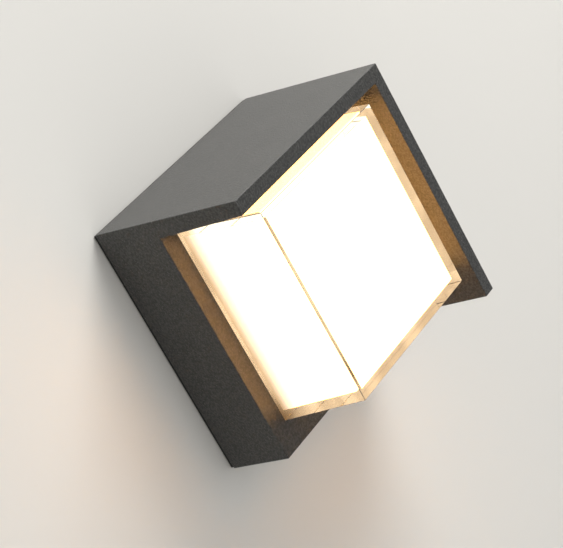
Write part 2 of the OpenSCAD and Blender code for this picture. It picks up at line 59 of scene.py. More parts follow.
class Lamp:
    """The lamp's own axes: u and v run along the casting's sides, z is the distance from the wall."""

    U = Vector((1, 0, 1)).normalized()
    V = Vector((-1, 0, 1)).normalized()
    OUT = Vector((0, -1, 0))

    @classmethod
    def at(cls, u: float, v: float, z: float) -> Vector:
        """The point of the row frame at these lamp coordinates."""
        return cls.U * u + cls.V * v + cls.OUT * z

    @classmethod
    def extent(cls, node: str) -> tuple[Vector, Vector]:
        """Lowest and highest (u, v, z) of a CAD node."""
        return cls.extent_of(points_of(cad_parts[node].data))

    @classmethod
    def extent_of(cls, points: np.ndarray) -> tuple[Vector, Vector]:
        """Lowest and highest (u, v, z) of some points of the row frame.

        Args:
            points: One row of x, y, z for each point.

        Returns:
            The two corners, in lamp coordinates.
        """
        turned = points @ np.array([cls.U, cls.V, cls.OUT]).T
        return Vector(turned.min(0)), Vector(turned.max(0))

    @classmethod
    def solids(cls, node: str) -> list[tuple[Vector, Vector]]:
        """Lowest and highest (u, v, z) of each separate solid in a CAD node.

        Args:
            node: The CAD node's name.

        Returns:
            One pair of corners for each solid, in a fixed order.
        """
        shape = merged_copy(node)
        left = set(shape.verts)
        found = []
        while left:
            group, reached = set(), [min(left, key=lambda v: v.index)]
            while reached:
                vert = reached.pop()
                if vert in group:
                    continue
                group.add(vert)
                reached.extend(e.other_vert(vert) for e in vert.link_edges)
            left -= group
            found.append(cls.extent_of(np.array([v.co[:] for v in group])))
        shape.free()
        return sorted(found, key=lambda pair: [round(x, 6) for x in pair[0]])


def points_of(mesh: bpy.types.Mesh) -> np.ndarray:
    """Reads a mesh's points.

    Args:
        mesh: The mesh.

    Returns:
        One row of x, y, z for each point.
    """
    flat = np.empty(len(mesh.vertices) * 3, np.float32)
    mesh.vertices.foreach_get("co", flat)
    return flat.reshape(-1, 3).astype(float)


def merged_copy(node: str) -> bmesh.types.BMesh:
    """Copies a CAD node's triangles, joined at their edges and with each flat face made one.

    Args:
        node: The CAD node's name.

    Returns:
        A new bmesh, which the caller frees.
    """
    same_point = 1e-6
    flat_angle = math.radians(0.3)
    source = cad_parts[node].data
    loose = bpy.data.meshes.new("loose")
    corners = [v.co[:] for v in source.vertices]
    loose.from_pydata(corners, [], [tuple(p.vertices) for p in source.polygons])
    shape = bmesh.new()
    shape.from_mesh(loose)
    bpy.data.meshes.remove(loose)
    bmesh.ops.remove_doubles(shape, verts=shape.verts, dist=same_point)
    bmesh.ops.dissolve_limit(shape, angle_limit=flat_angle, verts=shape.verts, edges=shape.edges)
    shape.verts.index_update()
    return shape


# ---------------------------------------------------------------- node trees as expressions


class Wire:
    """An output socket that takes part in Python arithmetic."""

    def __init__(self, sheet: "NodeSheet", socket: bpy.types.NodeSocket) -> None:
        """Wraps a socket of a sheet's tree."""
        self.sheet = sheet
        self.socket = socket

    def _math(self, operation: str, first: Any, second: Any) -> "Wire":
        """The result of a Math node on two values."""
        return self.sheet.node("ShaderNodeMath", {"operation": operation}, {0: first, 1: second})

    def __add__(self, other: Any) -> "Wire":
        """self + other."""
        return self._math("ADD", self, other)

    def __radd__(self, other: Any) -> "Wire":
        """other + self."""
        return self._math("ADD", other, self)

    def __sub__(self, other: Any) -> "Wire":
        """self - other."""
        return self._math("SUBTRACT", self, other)

    def __rsub__(self, other: Any) -> "Wire":
        """other - self."""
        return self._math("SUBTRACT", other, self)

    def __mul__(self, other: Any) -> "Wire":
        """self * other."""
        return self._math("MULTIPLY", self, other)

    def __rmul__(self, other: Any) -> "Wire":
        """other * self."""
        return self._math("MULTIPLY", other, self)

    def above(self, low: float, high: float) -> "Wire":
        """0 below low and 1 over high, smoothly between."""
        settings = {"interpolation_type": "SMOOTHSTEP"}
        return self.sheet.node("ShaderNodeMapRange", settings, {"Value": self, 1: low, 2: high})

    def below(self, high: float, low: float) -> "Wire":
        """0 over high and 1 below low, smoothly between."""
        return 1 - self.above(low, high)


class NodeSheet:
    """A node tree, for shaders or Geometry Nodes, that is written as expressions."""

    def __init__(self, tree: bpy.types.NodeTree) -> None:
        """Writes into this tree."""
        self.tree = tree

    def node(self, kind: str, settings: dict[str, Any] | None = None,
             inputs: dict[str | int, Any] | None = None, output: str | int = 0) -> Wire | None:
        """Adds one node.

        Args:
            kind: The node's type name.
            settings: Its properties, which are set first.
            inputs: Values or wires for its input sockets, by name or number.
            output: The output socket that is wanted.

        Returns:
            That output as a wire, or None for a node with no outputs.
        """
        made = self.tree.nodes.new(kind)
        for name, value in (settings or {}).items():
            setattr(made, name, value)
        for key, value in (inputs or {}).items():
            if isinstance(value, Wire):
                self.tree.links.new(value.socket, made.inputs[key])
            else:
                made.inputs[key].default_value = value
        return Wire(self, made.outputs[output]) if made.outputs else None

    def place(self) -> Wire:
        """Where a point lies in the row frame."""
        return self.node("ShaderNodeTexCoord", output="Object")

    def along(self, direction: Vector) -> Wire:
        """How far along a direction a point lies, in metres."""
        inputs = {0: self.place(), 1: direction[:]}
        return self.node("ShaderNodeVectorMath", {"operation": "DOT_PRODUCT"}, inputs, "Value")

    def noise(self, scale: float, detail: float = 2.0, stretch: Point = (1, 1, 1)) -> Wire:
        """Soft noise from 0 to 1 with this many blobs to a metre, closer along stretched axes."""
        where = self.node("ShaderNodeVectorMath", {"operation": "MULTIPLY"}, {0: self.place(), 1: stretch})
        return self.node("ShaderNodeTexNoise", None, {"Vector": where, "Scale": scale, "Detail": detail})

    def cells(self, scale: float, output: str = "Distance") -> Wire:
        """A cell pattern with this many cells to a metre: the distance to a cell's middle, or its colour."""
        inputs = {"Vector": self.place(), "Scale": scale}
        return self.node("ShaderNodeTexVoronoi", {"feature": "F1"}, inputs, output)

    def blend(self, first: Any, second: Any, share: Any) -> Wire:
        """A colour from first to second as share goes from 0 to 1.

        Args:
            first: A colour, or a wire that carries one.
            second: Another.
            share: A number, or a wire that carries one.

        Returns:
            The colour between them.
        """
        a_colour, b_colour, mixed_colour = 6, 7, 2
        ends = {a_colour: first, b_colour: second}
        paints = {key: (*value, 1) if isinstance(value, tuple) else value for key, value in ends.items()}
        return self.node("ShaderNodeMix", {"data_type": "RGBA"}, {0: share, **paints}, mixed_colour)

    def bump(self, height: Wire, depth: float) -> Wire:
        """A normal that follows a height from 0 to 1, this deep in metres."""
        return self.node("ShaderNodeBump", None, {"Height": height, "Distance": depth, "Strength": 1.0})


# ---------------------------------------------------------------- finishes


@dataclass(frozen=True)
class Finish:
    """What a surface is made of.

    Attributes:
        name: The material's name.
        slot: The record's material slot that it stands for; not used.
    """

    name: str
    slot: str

    def paint(self, sheet: NodeSheet) -> dict[str, Any]:
        """The inputs of the surface shader, by socket name."""
        raise NotImplementedError

    def material(self) -> bpy.types.Material:
        """Makes the finish's material, or finds it if another piece already wears it.

        Returns:
            The material.
        """
        title = self.name + "_finish"
        known = bpy.data.materials.get(title)
        if known:
            return known
        made = bpy.data.materials.new(title)
        made.use_nodes = True
        made.node_tree.nodes.clear()
        sheet = NodeSheet(made.node_tree)
        shader = sheet.node("ShaderNodeBsdfPrincipled", None, self.paint(sheet))
        sheet.node("ShaderNodeOutputMaterial", None, {"Surface": shader})
        return made


@dataclass(frozen=True)
class PowderCoat(Finish):
    """Fine-textured anthracite powder coat on cast aluminium.

    Attributes:
        dark: Its colour in the hollows of the texture, darker there as painted shade of the relief.
        light: Its colour on the crests, lighter there as a painted highlight of the relief, and on the
            flecks.
        grain: Grains of the texture to a metre.
        blob: Grains across one blob of the mottle.
        crumbs: Cells of the flecks to one grain.
        roughness: Its roughness before the grain changes it.
        depth: Depth of the texture.
    """

    dark: Colour = (0.018, 0.0178, 0.0165)
    light: Colour = (0.062, 0.061, 0.056)
    grain: float = 820.0
    blob: float = 22.0
    crumbs: float = 0.8
    roughness: float = 0.42
    depth: float = 0.16 * MM

    def paint(self, sheet: NodeSheet) -> dict[str, Any]:
        """A sandy relief whose hollows are painted darker and crests lighter as its shade and highlight, a
        faint mottle and scattered paler flecks.

        Args:
            sheet: The material's sheet.

        Returns:
            The inputs of the surface shader.
        """
        sand = sheet.noise(self.grain, 3.0)
        mottle = sheet.noise(self.grain / self.blob, 2.0)
        fleck = sheet.cells(self.grain * self.crumbs).below(0.34, 0.16)
        # Painted shade and highlight: the relief's hollows are darkened and its crests lightened, so the
        # grain shows in the colour; the mottle and flecks are the coat's own tone.
        share = sand.above(0.38, 0.62) * 0.7 + mottle * 0.10 + fleck * 0.20
        return {
            "Base Color": sheet.blend(self.dark, self.light, share),
            "Roughness": self.roughness + 0.16 * sand - 0.06 * mottle,
            "Sheen Weight": 0.35,
            "Sheen Roughness": 0.35,
            "Normal": sheet.bump(sand + fleck * 0.5, self.depth),
        }


@dataclass(frozen=True)
class ClearAcrylic(Finish):
    """Polished clear acrylic with faint wipe marks.

    Attributes:
        tint: The colour that light takes where it crosses its surface.
    """

    tint: Colour = (1.0, 0.985, 0.955)

    def paint(self, sheet: NodeSheet) -> dict[str, Any]:
        """Clear, with a roughness that varies very slightly.

        Args:
            sheet: The material's sheet.

        Returns:
            The inputs of the surface shader.
        """
        haze = sheet.noise(45, 3.0)
        wipe = sheet.noise(260, 2.0, (1, 0.15, 1))
        return {
            "Base Color": (*self.tint, 1),
            "Roughness": 0.012 + 0.02 * haze * wipe,
            "IOR": 1.49,
            "Transmission Weight": 1.0,
        }


@dataclass(frozen=True)
class MilkyAcrylic(Finish):
    """Milky diffuser, lit from inside, that dims towards its foot.

    Attributes:
        glow: The light's colour.
        strength: Its brightness where it is brightest.
        foot: Distance of the visible foot from the wall.
        face: Distance of its front face from the wall.
        fade: How far from the foot it takes to come up to full light.
        sides: How bright its sides are beside the front face.
        foot_glow: What is left of the light at the foot.
        cream_glow: The light in the first half of the fade.
    """

    glow: Colour = (1.0, 0.49, 0.135)
    strength: float = 8.0
    foot: float = 42 * MM
    face: float = 92 * MM
    fade: float = 9 * MM
    sides: float = 0.82
    foot_glow: Colour = (0.036, 0.026, 0.011)
    cream_glow: Colour = (0.150, 0.104, 0.074)

    def paint(self, sheet: NodeSheet) -> dict[str, Any]:
        """Light that rises from the foot, over a smooth milky body.

        Args:
            sheet: The material's sheet.

        Returns:
            The inputs of the surface shader.
        """
        height = sheet.along(Lamp.OUT)
        cream = height.above(self.foot - 1.5 * MM, self.foot + self.fade * 0.5)
        rise = height.above(self.foot + self.fade * 0.30, self.foot + self.fade)
        low_glow = sheet.blend(self.foot_glow, self.cream_glow, cream)
        face = height.above(self.face - 0.5 * MM, self.face)
        cloud = 0.92 + 0.08 * sheet.noise(60, 2.0)
        level = (self.sides * rise + (1 - self.sides) * face) * cloud
        return {
            "Base Color": (0.74, 0.72, 0.68, 1),
            "Roughness": 0.38 + 0.06 * sheet.noise(300, 2.0),
            "Emission Color": sheet.blend(low_glow, self.glow, level),
            "Emission Strength": self.strength,
            "Normal": sheet.bump(sheet.noise(500, 2.0), 0.004 * MM),
        }


@dataclass(frozen=True)
class Metal(Finish):
    """Bare or plated metal.

    Attributes:
        dark: Colour of its darker grain.
        light: Colour of its lighter grain.
        grain: Blobs of its grain to a metre.
        stretch: How the grain is drawn out along X, Y and Z.
        spangle: Cells to a metre of a zinc spangle, or 0 for none.
        roughness: Its mean roughness.
    """

    dark: Colour = (0.50, 0.50, 0.50)
    light: Colour = (0.66, 0.66, 0.66)
    grain: float = 900.0
    stretch: Point = (1, 1, 1)
    spangle: float = 0.0
    roughness: float = 0.3

    def paint(self, sheet: NodeSheet) -> dict[str, Any]:
        """A metal whose grain and spangle change its colour, gloss and relief.

        Args:
            sheet: The material's sheet.

        Returns:
            The inputs of the surface shader.
        """
        grain = sheet.noise(self.grain, 3.0, self.stretch)
        share = grain
        if self.spangle:
            tone = sheet.node("ShaderNodeSeparateColor", None, {0: sheet.cells(self.spangle, "Color")})
            share = 0.35 * grain + 0.65 * tone
        return {
            "Base Color": sheet.blend(self.dark, self.light, share),
            "Metallic": 1.0,
            "Roughness": self.roughness - 0.06 + 0.16 * share,
            "Normal": sheet.bump(grain, 0.006 * MM),
        }


@dataclass(frozen=True)
class Moulded(Finish):
    """Moulded plastic, rubber, silicone or foam.

    Attributes:
        dark: Its colour in the hollows, darker there partly as painted shade of the fine texture.
        light: Its colour on the crests, lighter there partly as a painted highlight.
        grain: Blobs of its surface texture to a metre.
        depth: Depth of that texture.
        pores: Cells to a metre of an open foam, or 0 for a closed skin.
        roughness: Its mean roughness.
        softness: How far light travels inside it, from 0 to 1.
    """

    dark: Colour = (0.70, 0.69, 0.66)
    light: Colour = (0.80, 0.79, 0.76)
    grain: float = 1200.0
    depth: float = 0.01 * MM
    pores: float = 0.0
    roughness: float = 0.45
    softness: float = 0.0

    def paint(self, sheet: NodeSheet) -> dict[str, Any]:
        """A fine spark-eroded texture, with pores for a foam.

        Args:
            sheet: The material's sheet.

        Returns:
            The inputs of the surface shader.
        """
        grain = sheet.noise(self.grain, 3.0)
        height = grain
        if self.pores:
            height = 0.3 * grain + sheet.cells(self.pores).above(0.08, 0.45)
        return {
            # Partly painted shade: the fine grain that makes the relief darkens its hollows; the larger blobs
            # are a random tone of the material.
            "Base Color": sheet.blend(self.dark, self.light, 0.4 * grain + 0.6 * sheet.noise(40, 3.0)),
            "Roughness": self.roughness - 0.05 + 0.12 * grain,
            "Subsurface Weight": self.softness,
            "Subsurface Scale": 1 * MM,
            "Normal": sheet.bump(height, self.depth),
        }


@dataclass(frozen=True)
class SiliconeWithPaintedGlow(Moulded):
    """Translucent silicone with a painted glow, which stands in for the lamp's light seen down through the
    clear walls.

    Attributes:
        dim: The painted glow at the low corner.
        glow: The painted glow along most of its length.
        cream: The painted glow beside the roof.
        corner: How far the low corner is from the lamp's middle.
        strength: Brightness of the painted glow.
    """

    dim: Colour = (0.16, 0.09, 0.04)
    glow: Colour = (0.74, 0.53, 0.32)
    cream: Colour = (1.2, 1.08, 0.82)
    corner: float = 60 * MM
    strength: float = 0.85

    def paint(self, sheet: NodeSheet) -> dict[str, Any]:
        """Silicone whose painted glow is low at one corner, uneven along its sides and high beside the roof.

        Args:
            sheet: The material's sheet.

        Returns:
            The inputs of the surface shader.
        """
        corner = self.corner
        streak = sheet.noise(55, 2.0).above(0.3, 0.65)
        across, up = sheet.along(Lamp.U), sheet.along(Lamp.V)
        away = (across + up + 2 * corner).above(2 * MM, 0.6 * corner)
        under_roof = up.above(0.80 * corner, 0.92 * corner)
        past_corner = across.above(-0.85 * corner, -0.6 * corner)
        tan = sheet.blend(self.dim, self.glow, away * (0.65 + 0.35 * streak))
        # Painted glow: the silicone is no lamp, and this emission stands in for the lamp's light reaching it
        # through the clear walls.
        painted_glow = {
            "Emission Color": sheet.blend(tan, self.cream, under_roof * past_corner),
            "Emission Strength": self.strength,
        }
        return {**super().paint(sheet), **painted_glow}


@dataclass(frozen=True)
class GroundEdgePaintedDark(Finish):
    """The narrow ground chamfer along an acrylic edge, painted dark as shade for the thin dark line along the
    clear edges.

    Attributes:
        dark: Its colour in the saw marks; its darkness is painted shade.
        light: Its colour between them, also darkened as painted shade.
    """

    dark: Colour = (0.03, 0.04, 0.06)
    light: Colour = (0.07, 0.09, 0.13)

    def paint(self, sheet: NodeSheet) -> dict[str, Any]:
        """Dark as painted shade for the edge line, half matt, with saw marks.

        Args:
            sheet: The material's sheet.

        Returns:
            The inputs of the surface shader.
        """
        marks = sheet.noise(1400, 3.0)
        return {
            # Painted shade: the chamfer is coloured near black so the clear edges show a thin dark line; the
            # saw marks only vary it.
            "Base Color": sheet.blend(self.dark, self.light, marks),
            "Roughness": 0.4 + 0.2 * marks,
        }


@dataclass(frozen=True)
class CircuitBoard(Finish):
    """Solder mask over copper tracks.

    Attributes:
        mask: Colour of the mask over bare board.
        track: Colour of the mask over copper.
        pitch: Tracks to a metre.
    """

    mask: Colour = (0.02, 0.13, 0.05)
    track: Colour = (0.04, 0.24, 0.09)
    pitch: float = 160.0

    def paint(self, sheet: NodeSheet) -> dict[str, Any]:
        """Squared tracks that stand up slightly under a glossy mask.

        Args:
            sheet: The material's sheet.

        Returns:
            The inputs of the surface shader.
        """
        settings = {"feature": "F1", "distance": "CHEBYCHEV"}
        inputs = {"Vector": sheet.place(), "Scale": self.pitch, "Randomness": 0.8}
        cell = sheet.node("ShaderNodeTexVoronoi", settings, inputs)
        track = cell.above(0.34, 0.38) * cell.below(0.50, 0.46)
        return {
            "Base Color": sheet.blend(self.mask, self.track, track),
            "Roughness": 0.30 + 0.10 * sheet.noise(700, 2.0),
            "Normal": sheet.bump(track, 0.02 * MM),
        }


@dataclass(frozen=True)
class Phosphor(Finish):
    """Warm phosphor over the light chips, lit.

    Attributes:
        dark: Colour of its darker powder.
        light: Colour of its lighter powder.
        glow: The light's colour.
        strength: Its brightness.
    """

    dark: Colour = (0.85, 0.55, 0.12)
    light: Colour = (0.95, 0.70, 0.22)
    glow: Colour = (1.0, 0.62, 0.26)
    strength: float = 6.0

    def paint(self, sheet: NodeSheet) -> dict[str, Any]:
        """A powdery yellow that glows.

        Args:
            sheet: The material's sheet.

        Returns:
            The inputs of the surface shader.
        """
        powder = sheet.noise(3000, 3.0)
        return {
            "Base Color": sheet.blend(self.dark, self.light, powder),
            "Roughness": 0.35 + 0.2 * powder,
            "Emission Color": (*self.glow, 1),
            "Emission Strength": self.strength,
        }


@dataclass(frozen=True)
class WoundTape(Finish):
    """Polyester tape wound round a transformer.

    Attributes:
        dark: Its colour under the laps.
        light: Its colour on the laps.
        laps: The scale of the wave that makes the tape's edges.
    """

    dark: Colour = (0.58, 0.40, 0.05)
    light: Colour = (0.80, 0.60, 0.12)
    laps: float = 16.0

    def paint(self, sheet: NodeSheet) -> dict[str, Any]:
        """Overlapping tape edges and small creases.

        Args:
            sheet: The material's sheet.

        Returns:
            The inputs of the surface shader.
        """
        settings = {"wave_type": "BANDS", "bands_direction": "Y", "wave_profile": "SAW"}
        inputs = {"Vector": sheet.place(), "Scale": self.laps, "Distortion": 0.6}
        lap = sheet.node("ShaderNodeTexWave", settings, inputs, "Fac")
        crease = sheet.noise(420, 3.0)
        return {
            "Base Color": sheet.blend(self.dark, self.light, 0.5 * lap + 0.5 * crease),
            "Roughness": 0.22 + 0.15 * crease,
            "Normal": sheet.bump(lap + 0.4 * crease, 0.05 * MM),
        }


@dataclass(frozen=True)
class WireSkin(Finish):
    """Insulation of a lead, plain or striped.

    Attributes:
        colour: Its main colour.
        stripe: The colour of its stripe, or None on a plain lead.
        bands: The scale of the wave that makes the stripe.
    """

    colour: Colour = (0.2, 0.2, 0.2)
    stripe: Colour | None = None
    bands: float = 28.0

    def paint(self, sheet: NodeSheet) -> dict[str, Any]:
        """Glossy plastic with faint drawing lines and, if it has one, a slanting stripe.

        Args:
            sheet: The material's sheet.

        Returns:
            The inputs of the surface shader.
        """
        scuff = sheet.noise(900, 3.0)
        pale = tuple(min(1.0, x * 1.25 + 0.01) for x in self.colour)
        colour = sheet.blend(self.colour, pale, scuff)
        if self.stripe:
            settings = {"wave_type": "BANDS", "bands_direction": "DIAGONAL"}
            inputs = {"Vector": sheet.place(), "Scale": self.bands}
            band = sheet.node("ShaderNodeTexWave", settings, inputs, "Fac")
            colour = sheet.blend(colour, self.stripe, band.above(0.46, 0.54))
        return {
            "Base Color": colour,
            "Roughness": 0.28 + 0.14 * scuff,
            "Normal": sheet.bump(scuff, 0.008 * MM),
        }


COAT = PowderCoat("anthracite_powder_coat", "powder_coat")
STAINLESS = Metal("stainless_steel", "stainless", stretch=(1, 6, 1))
BRASS = Metal("brass", "brass", (0.55, 0.36, 0.12), (0.78, 0.56, 0.24), 700.0, roughness=0.26)
SOLDER = Metal("solder", "stainless", (0.55, 0.55, 0.56), (0.75, 0.75, 0.76), 1400.0, roughness=0.22)
ZINC = Metal("galvanised_sheet", "galvanised_steel", (0.36, 0.37, 0.38), (0.62, 0.63, 0.64), 700.0,
             spangle=150.0, roughness=0.36)
RUBBER = Moulded("black_rubber", "black_rubber", (0.012, 0.012, 0.012), (0.028, 0.028, 0.027), 1500.0,
                 0.03 * MM, roughness=0.62)
FOAM = Moulded("foam_rubber", "foam_rubber", (0.010, 0.010, 0.010), (0.030, 0.030, 0.029), 2500.0,
               0.25 * MM, pores=1100.0, roughness=0.85)
# The shade's seal wears a painted glow for the lamp's light seen through the clear shade.
SILICONE = SiliconeWithPaintedGlow("silicone", "silicone", (0.44, 0.43, 0.40), (0.54, 0.53, 0.50), roughness=0.34)
GROUND_EDGE_PAINTED_DARK = GroundEdgePaintedDark("ground_edge_painted_dark", "clear_acrylic")
WHITE_PLASTIC = Moulded("white_plastic", "white_plastic", softness=0.05)
HEAT_PAD = Moulded("heat_pad", "heat_pad", (0.25, 0.29, 0.33), (0.33, 0.37, 0.41), 900.0, 0.04 * MM,
                   roughness=0.7)
SLEEVE = Moulded("capacitor_sleeve", "dark_sleeve", (0.015, 0.022, 0.055), (0.03, 0.04, 0.09), 900.0,
                 roughness=0.25)
WHITE_BOARD = CircuitBoard("white_board", "board_white", (0.74, 0.74, 0.72), (0.84, 0.84, 0.81), 90.0)
GREEN_BOARD = CircuitBoard("green_board", "board_green")


# ---------------------------------------------------------------- pieces and patterns


@dataclass
class Piece:
    """One visible piece and what it wears.

    Attributes:
        shape: Its object, which may be a CAD node.
        finish: Its finish.
        body: The CAD body that it rides on.
        stands_for: The CAD nodes that it replaces.
        edge_finish: The finish of its cut edges, where that is another one.
    """

    shape: bpy.types.Object
    finish: Finish
    body: str
    stands_for: tuple[str, ...] = ()
    edge_finish: Finish | None = None

    def dress(self) -> None:
        """Gives the piece its material and, if it isn't a CAD node, its body, and hides the CAD nodes that it
        replaces.
        """
        mesh = self.shape.data
        if not mesh.materials:
            mesh.materials.append(None)
        for slot in self.shape.material_slots:
            slot.material = self.finish.material()
        if self.edge_finish:
            mesh.materials.append(self.edge_finish.material())
        if self.shape.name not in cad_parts:
            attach(self.shape, self.body)
            if self.stands_for:
                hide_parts(*self.stands_for)
        LOG.info("%s: %s on %s, %d faces", self.shape.name, self.finish.name, self.body, len(mesh.polygons))


def link_new(name: str, mesh: bpy.types.Mesh) -> bpy.types.Object:
    """Puts a mesh in the scene as an object at the origin.

    Args:
        name: The object's name.
        mesh: Its mesh.

    Returns:
        The object.
    """
    made = bpy.data.objects.new(name, mesh)
    bpy.context.scene.collection.objects.link(made)
    return made


class SpotShape(Enum):
    """The small shapes that a spot pattern repeats."""

    DOME = "dome"
    DISC = "disc"


def run_nodes(name: str, tree: bpy.types.NodeTree, seeds: Sequence[Vector],
              values: dict[str, Any]) -> bpy.types.Object:
    """Runs a Geometry Nodes tree once and keeps what it makes as a plain mesh.

    Args:
        name: Name of the new object.
        tree: The tree, whose first input is the seed geometry.
        seeds: Points that the tree starts from.
        values: The tree's named inputs.

    Returns:
        The new object, with no modifier.
    """
    seed_mesh = bpy.data.meshes.new(name + "_seeds")
    seed_mesh.from_pydata([s[:] for s in seeds], [], [])
    seed = link_new(name + "_seeds", seed_mesh)
    modifier = seed.modifiers.new("pattern", "NODES")
    modifier.node_group = tree
    for item in tree.interface.items_tree:
        if item.in_out == "INPUT" and item.name in values:
            modifier[item.identifier] = values[item.name]
    ready = seed.evaluated_get(bpy.context.evaluated_depsgraph_get())
    mesh = bpy.data.meshes.new_from_object(ready)
    mesh.name = name
    bpy.data.objects.remove(seed)
    bpy.data.meshes.remove(seed_mesh)
    return link_new(name, mesh)


def new_tree(name: str, inputs: dict[str, str]) -> tuple[NodeSheet, Callable[[str], Wire]]:
    """Starts a Geometry Nodes tree.

    Args:
        name: The tree's name.
        inputs: Its named inputs and their socket types, after the seed geometry.

    Returns:
        The tree's sheet, and a function from an input's name to its wire.
    """
    tree = bpy.data.node_groups.new(name, "GeometryNodeTree")
    for title, kind in {"Seeds": "NodeSocketGeometry", **inputs}.items():
        tree.interface.new_socket(title, in_out="INPUT", socket_type=kind)
    tree.interface.new_socket("Result", in_out="OUTPUT", socket_type="NodeSocketGeometry")
    sheet = NodeSheet(tree)
    given = tree.nodes.new("NodeGroupInput")
    return sheet, lambda title: Wire(sheet, given.outputs[title])


def close_tree(sheet: NodeSheet, instances: Wire, finish: Wire) -> bpy.types.NodeTree:
    """Ends a tree: the instances made real, smooth and with their material.

    Args:
        sheet: The tree's sheet.
        instances: What it has made.
        finish: The material that they take.

    Returns:
        The tree.
    """
    real = sheet.node("GeometryNodeRealizeInstances", None, {0: instances})
    smooth = sheet.node("GeometryNodeSetShadeSmooth", None, {0: real})
    painted = sheet.node("GeometryNodeSetMaterial", None, {"Geometry": smooth, "Material": finish})
    sheet.node("NodeGroupOutput", None, {0: painted})
    return sheet.tree


def spot_pattern(shape: SpotShape) -> bpy.types.NodeTree:
    """The tree that puts one small dome or disc on each seed point.

    Args:
        shape: Which shape it repeats.

    Returns:
        A tree with the inputs Radius, Height, Turn and Finish.
    """
    sheet, given = new_tree(shape.value + "_pattern", {
        "Radius": "NodeSocketFloat", "Height": "NodeSocketFloat",
        "Turn": "NodeSocketVector", "Finish": "NodeSocketMaterial"})
    if shape is SpotShape.DOME:
        small = sheet.node("GeometryNodeMeshUVSphere", None, {"Segments": 12, "Rings": 8, "Radius": 1.0})
    else:
        small = sheet.node("GeometryNodeMeshCylinder", None, {"Vertices": 24, "Radius": 1.0, "Depth": 2.0})
    scale = sheet.node("ShaderNodeCombineXYZ", None, {
        0: given("Radius"), 1: given("Radius"), 2: given("Height")})
    spots = sheet.node("GeometryNodeInstanceOnPoints", None, {
        "Points": given("Seeds"), "Instance": small, "Rotation": given("Turn"), "Scale": scale})
    return close_tree(sheet, spots, given("Finish"))


def rib_pattern() -> bpy.types.NodeTree:
    """The tree that lays a row of round-backed ribs.

    Returns:
        A tree with the inputs First, Step, Count, Half, Radius and Finish.
    """
    sheet, given = new_tree("rib_pattern", {
        "First": "NodeSocketVector", "Step": "NodeSocketVector", "Count": "NodeSocketInt",
        "Half": "NodeSocketVector", "Radius": "NodeSocketFloat", "Finish": "NodeSocketMaterial"})
    row = sheet.node("GeometryNodeMeshLine", {"mode": "OFFSET"}, {
        "Count": given("Count"), "Start Location": given("First"), "Offset": given("Step")})
    back = sheet.node("ShaderNodeVectorMath", {"operation": "SCALE"}, {0: given("Half"), "Scale": -1.0})
    line = sheet.node("GeometryNodeCurvePrimitiveLine", None, {"Start": back, "End": given("Half")})
    ring = sheet.node("GeometryNodeCurvePrimitiveCircle", None, {
        "Resolution": 12, "Radius": given("Radius")})
    rib = sheet.node("GeometryNodeCurveToMesh", None, {
        "Curve": line, "Profile Curve": ring, "Fill Caps": True})
    ribs = sheet.node("GeometryNodeInstanceOnPoints", None, {"Points": row, "Instance": rib})
    return close_tree(sheet, ribs, given("Finish"))


@dataclass
class SubAssembly:
    """A group of pieces that is built first and dressed after.

    Attributes:
        body: The CAD body that its pieces ride on.
        pieces: What it has built.
    """

    body: str
    pieces: list[Piece] = field(default_factory=list)

    def build(self) -> None:
        """Makes the pieces."""
        raise NotImplementedError

    def dress(self) -> None:
        """Dresses every piece."""
        for piece in self.pieces:
            piece.dress()

    def keep(self, finish: Finish, *nodes: str, smooth: bool = False) -> None:
        """Shows CAD nodes as they are.

        Args:
            finish: The finish that they take.
            nodes: Their names.
            smooth: Whether their facets are rounded, as on a lead.
        """
        same_point = 0.002 * MM
        for node in nodes:
            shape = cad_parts[node]
            if smooth:
                weld = shape.modifiers.new("weld", "WELD")
                weld.merge_threshold = same_point
                rounded = shape.modifiers.new("rounded", "SUBSURF")
                rounded.levels = rounded.render_levels = 2
            self.pieces.append(Piece(shape, finish, self.body))

    def soften(self, node: str, name: str, finish: Finish, radius: float, shortest: float = 0.0,
               edge_finish: Finish | None = None, foot: float = -1.0) -> None:
        """Stands a piece with rounded edges in for a CAD node.

        Args:
            node: The CAD node.
            name: The new piece's name.
            finish: Its finish.
            radius: Radius of its rounded edges, or width of flat ones.
            shortest: Sharp edges shorter than this stay sharp.
            edge_finish: Finish of the edges, of which then only the outer ones are cut, and flat.
            foot: Edges that lie nearer the wall than this stay sharp.
        """
        sharp_angle = math.radians(32)
        shape = merged_copy(node)
        weight = shape.edges.layers.float.new("bevel_weight_edge")
        for edge in shape.edges:
            sharp = edge.calc_face_angle(0.0) > sharp_angle
            rounded = sharp and edge.calc_length() >= shortest and (edge.is_convex or not edge_finish)
            rounded = rounded and max(end.co.dot(Lamp.OUT) for end in edge.verts) > foot
            edge[weight] = 1.0 if rounded else 0.0
            edge.smooth = rounded or not sharp
        for face in shape.faces:
            face.smooth = not edge_finish
        mesh = bpy.data.meshes.new(name)
        shape.to_mesh(mesh)
        shape.free()
        made = link_new(name, mesh)
        bevel = made.modifiers.new("edges", "BEVEL")
        bevel.width = radius
        bevel.segments = 1 if edge_finish else 3
        bevel.limit_method = "WEIGHT"
        if edge_finish:
            bevel.material = 1
        else:
            normals = made.modifiers.new("normals", "WEIGHTED_NORMAL")
            normals.keep_sharp = True
        self.pieces.append(Piece(made, finish, self.body, (node,), edge_finish))

    def scatter(self, name: str, shape: SpotShape, spots: Sequence[Vector], radius: float, height: float,
                facing: Vector, finish: Finish) -> None:
        """Adds a pattern of small domes or discs.

        Args:
            name: The new piece's name.
            shape: The small shape.
            spots: The middle of each one's foot, in the row frame.
            radius: Its radius.
            height: How far it stands out.
            facing: The way that it stands out.
            finish: Its finish.
        """
        turn = facing.to_track_quat("Z", "Y").to_euler()
        values = {"Radius": radius, "Height": height, "Turn": turn[:], "Finish": finish.material()}
        made = run_nodes(name, spot_pattern(shape), spots, values)
        self.pieces.append(Piece(made, finish, self.body))


# ---------------------------------------------------------------- the lamp's sub-assemblies


